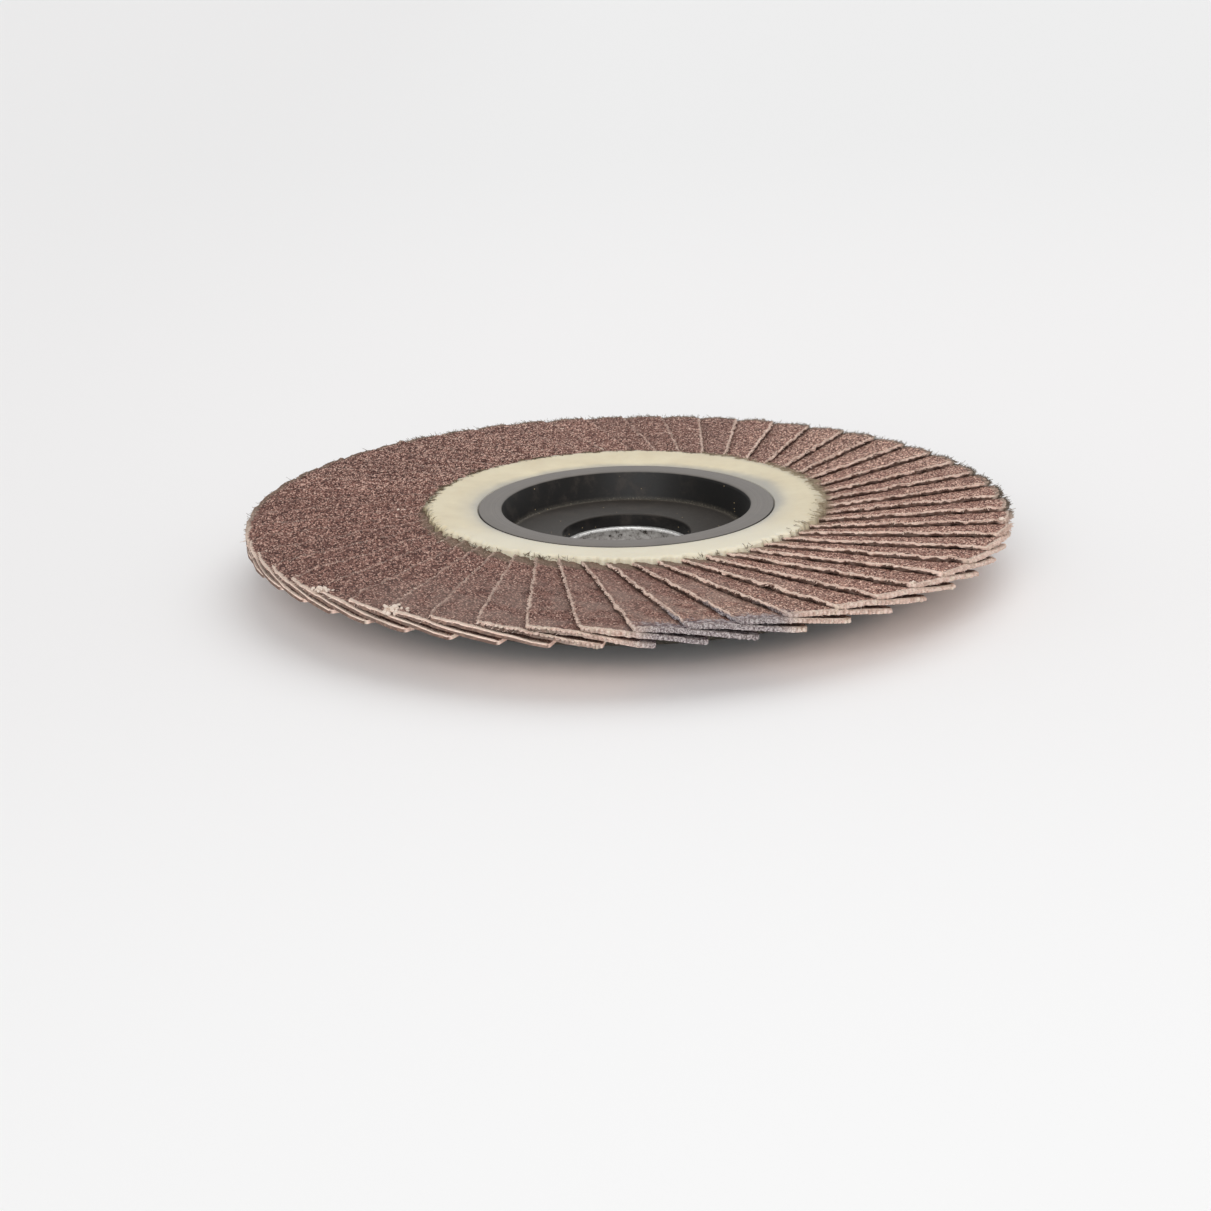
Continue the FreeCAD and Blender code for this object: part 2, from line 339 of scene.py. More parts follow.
def grain_finish():
    """Red-brown abrasive grain: worn smooth in front, and chipped to the cloth at its edges."""
    finish = Finish("abrasive_grain")
    place = finish.place()
    x, y, z = finish.split(place)
    radius = (x * x + y * y) ** 0.5
    along, across, _ = finish.split(finish.node("ShaderNodeUVMap"))
    across = across * (FLAP_WIDTH / MM)
    to_end = (1 - along) * ((DISC_RADIUS - FLAP_ROOT_DISTANCE) / MM)
    tint = finish.node("ShaderNodeAttribute", {"attribute_name": "tint"}, None, "Fac")
    # Speckle of the grain, with more contrast on the left, on the right and far off
    speckle_place = finish.node("ShaderNodeCombineXYZ", None, {0: x, 1: y * 0.6, 2: z})
    grain_colour = finish.split(finish.cells(speckle_place, 6.2, "Color"))
    grain_height = finish.cells(place, 5.0, "Distance")
    fine = finish.noise(speckle_place, 9.0, 2.0, 0.7)
    patch = finish.noise(place, 0.35, 2.0)
    left = finish.fade(x, 0.0, -26.0)
    right = finish.fade(x - y * 0.2, 6.0, 26.0)
    quiet = finish.fade(x - y * 0.4, 6.0, -10.0)
    far_side = finish.fade(y, 4.0, 24.0)
    contrast = left * 0.55 + right * 0.4 + far_side * 0.4 + 1.15
    shade = grain_colour[0] * 0.6 + fine * 0.4
    shade = (shade - 0.5) * contrast + 0.5 - left * 0.03
    colour = finish.ramp(
        shade,
        [
            (0.16, rgb(58, 31, 25)),
            (0.30, rgb(88, 56, 48)),
            (0.50, rgb(116, 81, 71)),
            (0.68, rgb(138, 102, 91)),
            (0.84, rgb(168, 132, 118)),
            (0.95, rgb(212, 182, 166)),
        ],
    )
    spark_size = finish.cells(speckle_place, 3.0, "Distance")
    spark_pick = finish.split(finish.cells(speckle_place, 3.0, "Color"))[1]
    spark = finish.fade(spark_size, 0.36, 0.2) * finish.fade(spark_pick, 0.78, 0.86)
    colour = finish.mix(spark * 0.75, colour, rgb(216, 186, 170))
    # Worn patch in front, and the tone of each flap with painted light and shade in it
    front = finish.fade(y, -24.0, -38.0) * finish.fade(x, -40.0, -26.0) * finish.fade(x, 28.0, 8.0)
    worn = front * finish.fade(patch + tint * 0.3, 0.4, 0.75)
    colour = finish.mix(worn * 0.45, colour, rgb(139, 121, 111))
    # Painted shade, with some dirt, in the valley under the next flap. The tone is also painted darker on the
    # left and far off, and lighter on the right, as painted light.
    valley = finish.fade(across / (radius * FLAP_PITCH), 0.55, 1.0)
    tone_and_painted_light = patch * 0.3 + tint * 0.16 + 0.88 - valley * 0.12 - left * 0.18 + right * 0.36 - far_side * 0.04
    green = tone_and_painted_light - left * 0.055 + right * 0.02
    blue = tone_and_painted_light - left * 0.06 - right * 0.015
    shift = finish.node("ShaderNodeCombineXYZ", None, {0: tone_and_painted_light, 1: green, 2: blue})
    colour = finish.mix(1.0, colour, shift, "MULTIPLY")
    # Resin soaked into the roots
    streak = finish.noise(finish.polar(x, y, 0.6), 2.6, 3.0, 0.7)
    resin_reach = finish.fade(radius - streak * 2.4, 26.6, 25.4)
    resin_soaked = finish.mix(right, rgb(112, 98, 82), rgb(152, 130, 112))
    colour = finish.mix(resin_reach * 0.7, colour, resin_soaked)
    # Painted shadow where the next flap lies over this one, and edges chipped to the cloth. The chips are
    # painted stronger on the right and in front, as painted light.
    chip = finish.noise(place, 1.6, 3.0, 0.7)
    broken = finish.fade(finish.noise(place, 0.7, 2.0), 0.36, 0.56)
    shadow = finish.fade(across / (radius * FLAP_PITCH) + chip * 0.14, 0.99, 1.06)
    colour = finish.mix(shadow * (right * 0.4 + 0.2), colour, rgb(46, 28, 20))
    chip_and_lit_share = finish.fade(y, -8.0, -26.0) * 0.25 + finish.fade(x, -8.0, 14.0) * 0.5 + 0.1
    chip_and_lit_share = (chip_and_lit_share + broken * 0.35) * (1 - quiet * 0.6)
    edge = finish.fade(across - chip * 0.62, 0.08, -0.2) * chip_and_lit_share
    far = finish.fade(y, -14.0, 8.0)
    rim = finish.fade(to_end - chip * (far * 0.9 + 0.8), 0.1, -0.3) * (1 - far * 0.35)
    colour = finish.mix(edge, colour, rgb(228, 203, 187))
    rim_colour = finish.mix(far, rgb(226, 206, 190), rgb(108, 99, 84))
    colour = finish.mix(rim * 0.8, colour, rim_colour)
    stain = finish.stain(place, 7.5) * finish.fade(radius + chip * 4.0, 49.2, 50.6)
    stain_colour = finish.mix(finish.fade(chip, 0.48, 0.58), rgb(88, 80, 88), rgb(178, 171, 173))
    colour = finish.mix(stain * 0.75, colour, stain_colour)
    normal = finish.bump(grain_height * -1.0, 0.1 * MM)
    return finish.close(Base_Color=colour, Roughness=0.7, Specular_IOR_Level=0.2, Normal=normal)


def cloth_finish():
    """Cotton in hardened glue: pale where cut, brown with dust and painted shade under the long edges, and
    grey far off.
    """
    finish = Finish("flap_cloth")
    place = finish.place()
    x, y, _ = finish.split(place)
    radius = (x * x + y * y) ** 0.5
    along, across, _ = finish.split(finish.node("ShaderNodeUVMap"))
    turns = 2 * math.pi * MM / YARN_PITCH
    across = across * (FLAP_WIDTH / MM)
    from_root = along * ((DISC_RADIUS - FLAP_ROOT_DISTANCE) / MM)
    weave = (from_root * turns).sine() * (across * turns).sine() * 0.5 + 0.5
    depth = finish.node("ShaderNodeAttribute", {"attribute_name": "depth"}, None, "Fac")
    fibre = finish.noise(place, 4.5, 3.0, 0.65)
    patch = finish.noise(place, 0.9, 2.0)
    colour = finish.ramp(
        fibre * 0.5 + patch * 0.5,
        [
            (0.26, rgb(180, 146, 130)),
            (0.38, rgb(232, 199, 183)),
            (0.52, rgb(250, 224, 210)),
            (0.70, rgb(255, 242, 232)),
        ],
    )
    colour = finish.mix(finish.fade(patch, 0.52, 0.66) * 0.3, colour, rgb(240, 222, 190))
    # Dust and painted shade under the long edges, and painted shade under the left ends
    to_end = (DISC_RADIUS - FLAP_ROOT_DISTANCE) / MM - from_root
    long_edge = finish.fade(across, 0.6, 0.3) * finish.fade(to_end, 0.5, 1.3)
    worn = finish.fade(finish.noise(place, 1.3, 2.0), 0.46, 0.58) * long_edge
    colour = finish.mix(worn * 0.75, colour, rgb(150, 117, 104))
    at_end = finish.fade(radius, 49.1, 49.5)
    left_end = at_end * finish.fade(x, 2.0, -14.0)
    # Painted shade, with some dust, on the lower part of the cut walls
    under = finish.fade(depth + patch * 0.2, 0.26, 0.36)
    colour = finish.mix(under * (long_edge * 0.9 + left_end * 0.9), colour, rgb(76, 53, 44))
    dim = finish.fade(finish.noise(place, 1.7, 1.0), 0.5, 0.62) * at_end
    colour = finish.mix(dim * 0.35, colour, rgb(168, 136, 120))
    # Painted shade in the gaps between the yarns at the ends
    between = finish.fade((across * (2 * math.pi * MM / BEAD_PITCH)).cosine(), 0.1, 0.8)
    between = between * finish.fade(to_end, 0.4, 0.1) * (1 - left_end)
    colour = finish.mix(between * 0.5, colour, rgb(100, 74, 62))
    # Faint long edges on the left, and a grey far rim
    quiet = finish.fade(x - y * 0.4, 6.0, -10.0) * finish.fade(radius, 49.0, 48.2)
    colour = finish.mix(quiet * finish.fade(patch, 0.62, 0.46) * 0.8, colour, rgb(134, 102, 91))
    far_rim = finish.fade(y, -14.0, -4.0) * finish.fade(radius, 48.4, 49.4)
    colour = finish.mix(far_rim * 0.88, colour, rgb(96, 88, 74))
    colour = finish.mix(finish.fade(depth, -0.3, -0.7), colour, rgb(252, 234, 219))
    stain_colour = finish.mix(finish.fade(fibre, 0.42, 0.56), rgb(92, 86, 98), rgb(206, 200, 202))
    colour = finish.mix(finish.stain(place, 7.0) * 0.8, colour, stain_colour)
    normal = finish.bump(fibre * 0.5 + weave * 0.5, 0.05 * MM)
    return finish.close(Base_Color=colour, Roughness=0.85, Specular_IOR_Level=0.2, Normal=normal)


def resin_finish():
    """Cured cream resin: grey at the hub, and dark with soaked fibres where it ends on the flaps."""
    finish = Finish("cast_resin")
    place = finish.place()
    x, y, z = finish.split(place)
    radius = (x * x + y * y) ** 0.5
    cloud = finish.noise(place, 0.22, 3.0, 0.6)
    colour = finish.ramp(cloud, [(0.3, rgb(204, 190, 158)), (0.7, rgb(216, 204, 173))])
    right = finish.fade(x * 0.85 + y * 0.3, 13.0, 22.0)
    front = finish.fade(y, -8.0, -17.0)
    side = finish.fade(abs(x) - y * 0.2, 10.0, 20.0)
    colour = finish.mix(finish.fade(radius, 23.4, 19.6) * side * 0.45, colour, rgb(174, 170, 160))
    near_hub = finish.fade(radius + cloud * 1.4 - right * 1.3, 21.7, 20.0) * (0.8 - front * 0.5)
    colour = finish.mix(near_hub, colour, rgb(150, 147, 140))
    hairs = finish.noise(finish.polar(x, y, 0.22), 4.2, 3.0, 0.7)
    reach = finish.fade(radius + hairs * 1.2, 24.8, 26.6) * right
    colour = finish.mix((finish.fade(hairs, 0.6, 0.42) * 0.5 + 0.25) * reach, colour, rgb(142, 130, 113))
    lip = finish.fade(radius + (hairs - 0.5) * 5.0, 25.6, 26.4) * (1 - right) * (1 - front)
    colour = finish.mix(lip * 0.85, colour, rgb(116, 105, 80))
    colour = finish.mix(front * (1 - near_hub) * 0.5, colour, rgb(224, 220, 204))
    foot = finish.fade(z, HUB_HEIGHT / MM - 0.2, HUB_HEIGHT / MM - 0.5) * finish.fade(radius, 23.4, 24.0)
    colour = finish.mix(foot * (0.3 - front * 0.3), colour, rgb(178, 160, 136))
    normal = finish.bump(finish.noise(place, 0.5, 2.0), 0.04 * MM)
    return finish.close(
        Base_Color=colour,
        Roughness=0.38,
        Subsurface_Weight=0.15,
        Subsurface_Radius=(1.0, 0.8, 0.5),
        Subsurface_Scale=0.8 * MM,
        Normal=normal,
    )


def fibre_finish():
    """Dark fibres that the resin has soaked."""
    finish = Finish("soaked_fibre")
    place = finish.place()
    x, y, _ = finish.split(place)
    colour = finish.ramp(finish.noise(place, 1.5), [(0.35, rgb(84, 70, 56)), (0.65, rgb(134, 118, 98))])
    colour = finish.mix(finish.fade(x + y * 0.3, 15.0, 22.0) * 0.8, colour, rgb(176, 161, 138))
    return finish.close(Base_Color=colour, Roughness=0.7, Specular_IOR_Level=0.2)


def plastic_finish():
    """Black moulded plastic: a dull collar whose top has a painted sheen, smears and painted shade on the
    cup's wall, and pale dust in its corner.
    """
    finish = Finish("hub_plastic")
    place = finish.place()
    x, y, z = finish.split(place)
    radius = (x * x + y * y) ** 0.5
    turned_place = finish.node("ShaderNodeCombineXYZ", None, {0: radius * 3.0, 1: z * 3.0, 2: 0.0})
    turned_marks = finish.noise(turned_place, 1.6, 3.0, 0.7)
    smear = finish.noise(place, 0.4, 4.0, 0.65)
    black = finish.ramp(smear, [(0.32, rgb(10, 9, 8)), (0.5, rgb(20, 17, 15)), (0.66, rgb(44, 39, 35))])
    # Painted shade: the plastic is darker on the right, where the cup's wall gets less light
    black = finish.mix(finish.fade(x, 2.0, 12.0) * 0.85, black, rgb(5, 4, 3))
    # Painted sheen: the collar's top is painted light grey for the pale surroundings that it reflects, with
    # turned marks in it
    painted_sheen_stops = [(0.3, rgb(98, 93, 89)), (0.7, rgb(120, 115, 110))]
    ground = finish.ramp(smear * 0.5 + turned_marks * 0.5, painted_sheen_stops)
    on_top = finish.fade(z, HUB_HEIGHT / MM - 0.22, HUB_HEIGHT / MM - 0.04)
    on_top = on_top * finish.fade(radius, COLLAR_RADIUS / MM - 0.01, COLLAR_RADIUS / MM - 0.1)
    colour = finish.mix(on_top, black, ground)
    in_cup = finish.fade(radius, COLLAR_RADIUS / MM, CUP_MOUTH_RADIUS / MM) * finish.fade(z, 8.2, 7.9)
    cup_floor = finish.fade(z, CUP_FLOOR_HEIGHT / MM + 0.1, CUP_FLOOR_HEIGHT / MM) * finish.fade(z, 4.4, 4.6)
    dust = finish.noise(place, 2.4, 4.0, 0.75)
    colour = finish.mix(cup_floor * (dust * 0.5 + 0.15), colour, rgb(72, 66, 60))
    corner = finish.fade(radius, CUP_FLOOR_RADIUS / MM - 0.7, CUP_FLOOR_RADIUS / MM - 0.1)
    corner = corner * finish.fade(z, CUP_FLOOR_HEIGHT / MM + 0.6, CUP_FLOOR_HEIGHT / MM)
    crumbs = finish.fade(finish.noise(place, 5.5, 3.0, 0.7), 0.54, 0.66)
    colour = finish.mix(corner * (crumbs * 0.5 + 0.12), colour, rgb(138, 130, 116))
    speck_size = finish.cells(place, 1.7, "Distance")
    speck_pick = finish.split(finish.cells(place, 1.7, "Color"))[0]
    at_left = finish.fade(x, -5.0, -12.0) * 0.05
    picked = finish.fade(speck_pick + corner * 0.1 + at_left, 0.92, 0.95)
    speck = finish.fade(speck_size, 0.14, 0.08) * picked * in_cup
    colour = finish.mix(speck * 0.85, colour, rgb(222, 196, 150))
    normal = finish.bump(turned_marks, 0.02 * MM)
    rough = smear * 0.2 + 0.4 + finish.fade(x, 4.0, 13.0) * in_cup * 0.3
    return finish.close(Base_Color=colour, Roughness=rough, Specular_IOR_Level=0.24, Normal=normal)


def steel_finish():
    """Pressed steel with dust and dark oil spots in the bore, and a painted highlight on its top edge, where
    the nut seats.
    """
    finish = Finish("sleeve_steel")
    place = finish.place()
    z = finish.split(place)[2]
    spots = finish.noise(place, 1.4, 4.0, 0.7)
    dust = finish.noise(place, 3.2, 2.0)
    stops = [(0.36, rgb(60, 56, 52)), (0.45, rgb(150, 146, 142)), (0.62, rgb(186, 183, 179))]
    colour = finish.ramp(spots, stops)
    # Painted highlight: the top edge is painted near white, and made less metallic and smoother
    painted_highlight = finish.fade(z, SLEEVE_HEIGHT / MM - 0.42, SLEEVE_HEIGHT / MM - 0.2)
    painted_highlight = painted_highlight * (1 - finish.fade(finish.noise(place, 2.2, 2.0), 0.56, 0.68) * 0.6)
    colour = finish.mix(painted_highlight * 0.95, colour, rgb(250, 249, 246))
    normal = finish.bump(dust, 0.03 * MM)
    rough = dust * 0.2 + 0.25 - painted_highlight * 0.1
    return finish.close(Base_Color=colour, Metallic=0.85 - painted_highlight * 0.5, Roughness=rough, Normal=normal)


def floor_finish():
    """Pale floor with painted shade: a little greyer far off and on the left."""
    finish = Finish("pale_floor")
    x, y, _ = finish.split(finish.place())
    colour = finish.mix(finish.fade(y, -150.0, -10.0), rgb(248, 248, 248), rgb(242, 241, 241))
    colour = finish.mix(finish.fade(y, 60.0, 500.0), colour, rgb(237, 237, 237))
    colour = finish.mix(finish.fade(x, 20.0, -150.0) * 0.6, colour, rgb(232, 231, 231))
    return finish.close(Base_Color=colour, Roughness=0.9, Specular_IOR_Level=0.1)


def share_between(value, low, high):
    """How far a value lies from low to high, kept from 0 to 1."""
    return max(0.0, min(1.0, (value - low) / (high - low)))


def alone(piece):
    """Leaves one piece selected and active."""
    bpy.ops.object.select_all(action="DESELECT")
    piece.select_set(True)
    bpy.context.view_layer.objects.active = piece


def pick(kind, test):
    """In edit mode, selects only the vertices, edges or faces that pass a test."""
    bpy.ops.mesh.select_mode(type={"verts": "VERT", "edges": "EDGE", "faces": "FACE"}[kind])
    bpy.ops.mesh.select_all(action="DESELECT")
    cage = bmesh.from_edit_mesh(bpy.context.object.data)
    for element in getattr(cage, kind):
        if test(element):
            element.select_set(True)
    bmesh.update_edit_mesh(bpy.context.object.data)


def finish_with(piece, kind, **settings):
    """Adds a modifier to a piece and applies it."""
    alone(piece)
    modifier = piece.modifiers.new(kind.lower(), kind)
    for name, value in settings.items():
        setattr(modifier, name, value)
    bpy.ops.object.modifier_apply(modifier=modifier.name)


def turned(name, profile, edge_radius, sides=TURNED_SIDES):
    """Ring turned from (radius, height) points: a circle is extruded from point to point and closed."""
    radius, height = profile[0]
    bpy.ops.object.select_all(action="DESELECT")
    bpy.ops.mesh.primitive_circle_add(vertices=sides, radius=radius)
    ring = bpy.context.object
    ring.name = name
    bpy.ops.object.mode_set(mode="EDIT")
    bpy.ops.mesh.select_all(action="SELECT")
    bpy.ops.transform.translate(value=(0, 0, height))
    for next_radius, next_height in profile[1:] + profile[:1]:
        bpy.ops.mesh.extrude_edges_move(TRANSFORM_OT_translate={"value": (0, 0, next_height - height)})
        scale = next_radius / radius
        bpy.ops.transform.resize(value=(scale, scale, 1), center_override=(0, 0, 0))
        radius, height = next_radius, next_height
    bpy.ops.mesh.select_all(action="SELECT")
    bpy.ops.mesh.remove_doubles(threshold=0.001 * MM)
    bpy.ops.mesh.normals_make_consistent(inside=False)
    bpy.ops.object.mode_set(mode="OBJECT")
    if edge_radius:
        limit = {"limit_method": "ANGLE", "angle_limit": math.radians(25)}
        finish_with(ring, "BEVEL", width=edge_radius, segments=3, **limit)
    alone(ring)
    bpy.ops.object.shade_smooth_by_angle(angle=math.radians(30))
    return ring


def flap_top(distance, side):
    """Height of a flap's grain face, at a distance along the flap and a side step across it."""
    share = (distance - FLAP_ROOT_DISTANCE) / (FLAP_END_DISTANCE - FLAP_ROOT_DISTANCE)
    root_slope = ROOT_RISE / (FLAP_ROOT_DISTANCE * FLAP_PITCH)
    rim_slope = RIM_RISE / (FLAP_END_DISTANCE * FLAP_PITCH)
    edge_height = HUB_HEIGHT - ROOT_SINK * (1 - share)
    return edge_height - (root_slope + share * (rim_slope - root_slope)) * (side + EXPOSED_EDGE_OFFSET)


def bed_height(radius):
    """Height of the flange's conical top, just under the hidden edges of the flaps."""
    outer_distance = math.sqrt(FLANGE_RADIUS**2 - HIDDEN_EDGE_OFFSET**2)
    inner_radius = math.hypot(FLAP_ROOT_DISTANCE, HIDDEN_EDGE_OFFSET)
    drop = FLAP_THICKNESS + BED_GLUE_FILM
    inner_height = flap_top(FLAP_ROOT_DISTANCE, HIDDEN_EDGE_OFFSET) - drop
    outer_height = flap_top(outer_distance, HIDDEN_EDGE_OFFSET) - drop
    share = (radius - inner_radius) / (FLANGE_RADIUS - inner_radius)
    return inner_height + share * (outer_height - inner_height)


def hub():
    """Hub and flange in one moulding."""
    boss_foot_radius = BOSS_RADIUS + BOSS_DRAFT
    profile = [
        (SLEEVE_NECK_RADIUS, 0),
        (SLEEVE_NECK_RADIUS, SLEEVE_NECK_HEIGHT),
        (SLEEVE_SHOULDER_RADIUS, SLEEVE_NECK_HEIGHT),
        (SLEEVE_SHOULDER_RADIUS, SLEEVE_HEIGHT),
        (WEB_HOLE_RADIUS, SLEEVE_HEIGHT),
        (WEB_HOLE_RADIUS, CUP_FLOOR_HEIGHT),
        (CUP_FLOOR_RADIUS, CUP_FLOOR_HEIGHT),
        (CUP_MOUTH_RADIUS, HUB_HEIGHT),
        (COLLAR_RADIUS, HUB_HEIGHT),
        (COLLAR_RADIUS, bed_height(COLLAR_RADIUS)),
        (FLANGE_RADIUS, bed_height(FLANGE_RADIUS)),
        (FLANGE_RADIUS, bed_height(FLANGE_RADIUS) - FLANGE_THICKNESS),
        (boss_foot_radius, bed_height(boss_foot_radius) - FLANGE_THICKNESS),
        (BOSS_RADIUS, 0),
    ]
    moulding = turned("hub", profile, HUB_EDGE_RADIUS)
    moulding.data.materials.append(plastic_finish())
    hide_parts("backing_plate")
    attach(moulding, "root")


def sleeve():
    """Steel sleeve that lines the bore."""
    profile = [
        (BORE_RADIUS, 0),
        (SLEEVE_NECK_RADIUS, 0),
        (SLEEVE_NECK_RADIUS, SLEEVE_NECK_HEIGHT),
        (SLEEVE_SHOULDER_RADIUS, SLEEVE_NECK_HEIGHT),
        (SLEEVE_SHOULDER_RADIUS, SLEEVE_HEIGHT),
        (BORE_RADIUS, SLEEVE_HEIGHT),
    ]
    lining = turned("sleeve", profile, SLEEVE_EDGE_RADIUS)
    lining.data.materials.append(steel_finish())
    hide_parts("bore_sleeve")
    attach(lining, "root")


def lip_step(angle):
    """Step outward of the resin's lumpy outer edge from its even circle, at an angle round the axis."""
    outward = Vector((math.cos(angle), math.sin(angle), 0))
    wave = noise.noise(outward * RESIN_LIP_RADIUS / (2.6 * MM)) * 0.4 * MM
    scallop = noise.noise(outward * 34) * 0.8 * MM
    lean = (0.3 * outward.y - 0.1 * outward.x) * MM
    drawn_in = max(0.0, -outward.y) * (1.3 - 0.7 * outward.x) * MM
    return wave + scallop + lean - drawn_in


def soaked_fibres():
    """Dark fibres round the resin's outer edge: small spiky clumps, and long single ones on the right."""
    fibre = yarn("fibre", HAIR_RADIUS, HAIR_LENGTH, 3, 3, 0.75, 0.0, fibre_finish())
    fibres = []

    def lay(angle, radius, height, heading, rise, stretch):
        at = Vector((math.cos(angle) * radius, math.sin(angle) * radius, height))
        direction = Vector((math.cos(heading), math.sin(heading), rise))
        fibres.append(copy_of(fibre, pointing(direction, at, stretch)))

    for _ in range(FIBRE_CLUMPS):
        centre = random.uniform(-math.pi, math.pi)
        if BARE_LIP_FROM < centre < BARE_LIP_TO and random.random() < BARE_LIP_SHARE:
            continue
        far_off = math.sin(centre) > 0.05
        for _ in range(FIBRES_IN_CLUMP):
            angle = centre + random.gauss(0, 0.32) * MM / RESIN_LIP_RADIUS
            radius = RESIN_LIP_RADIUS + lip_step(angle)
            if far_off:
                radius -= random.uniform(-0.1, 0.7) * MM
                height = RESIN_CROWN_HEIGHT - random.uniform(-0.05, 0.1) * MM
                rise = random.uniform(-0.1, 0.15)
            else:
                radius += random.uniform(0.05, 0.35) * MM
                height = HUB_HEIGHT - random.uniform(0.0, 0.6) * MM
                rise = random.uniform(0.1, 0.9)
            heading = centre + math.pi + random.gauss(0, 0.9)
            lay(angle, radius, height, heading, rise, random.uniform(0.4, 0.95))
    for _ in range(LONG_FIBRES):
        angle = random.gauss(0.28, 0.42)
        inward = random.uniform(-0.2, 1.5) * math.exp(-angle * angle) * MM
        radius = RESIN_LIP_RADIUS + lip_step(angle) - inward
        height = RESIN_CROWN_HEIGHT - random.uniform(-0.03, 0.08) * MM
        heading = angle + random.gauss(0, 0.25)
        rise = random.uniform(-0.22, 0.02)
        lay(angle, radius, height, heading, rise, random.uniform(0.9, 2.4))
    bpy.data.objects.remove(fibre)
    return fibres


def resin():
    """Cast resin: rises from the collar to a low crown, and ends over the flap roots in a lumpy bead."""
    lip_foot = flap_top(FLAP_ROOT_DISTANCE, -EXPOSED_EDGE_OFFSET + FLAP_PITCH * FLAP_ROOT_DISTANCE)
    rise = RESIN_CROWN_HEIGHT - HUB_HEIGHT
    profile = [
        (COLLAR_RADIUS, lip_foot - RESIN_FOOT_DEPTH),
        (COLLAR_RADIUS, HUB_HEIGHT - 0.3 * MM),
        (COLLAR_RADIUS + 0.06 * MM, HUB_HEIGHT - 0.26 * MM),
        (COLLAR_RADIUS + 0.2 * MM, HUB_HEIGHT - 0.06 * MM),
        *((radius * MM, HUB_HEIGHT + share * rise) for radius, share in RESIN_TOP),
        (RESIN_LIP_RADIUS, HUB_HEIGHT + 0.5 * rise),
        (RESIN_LIP_RADIUS + 0.12 * MM, HUB_HEIGHT - 0.1 * rise),
        (RESIN_LIP_RADIUS + 0.15 * MM, HUB_HEIGHT - 1.2 * rise),
        (RESIN_FOOT_RADIUS, lip_foot - RESIN_FOOT_DEPTH),
    ]
    ring = turned("resin", profile, None, RESIN_SIDES)
    for vertex in ring.data.vertices:
        radius = math.hypot(vertex.co.x, vertex.co.y)
        share = share_between(radius, RESIN_LUMPY_FROM, RESIN_LUMPIEST_FROM)
        spread = lip_step(math.atan2(vertex.co.y, vertex.co.x)) * share
        drop = FRONT_DROP * share_between(radius, FRONT_DROP_FROM, FRONT_DROP_FULL_FROM)
        vertex.co.z -= max(0.0, -vertex.co.y / radius) ** 1.5 * drop
        vertex.co.x *= 1 + spread / radius
        vertex.co.y *= 1 + spread / radius
        lumps = noise.noise(Vector((vertex.co.x, vertex.co.y, 9 * MM)) / (0.9 * MM))
        vertex.co.z += lumps * RESIN_LUMP_HEIGHT * share
    ring.data.materials.append(resin_finish())
    join(ring, soaked_fibres())
    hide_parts("resin_ring")
    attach(ring, "root")


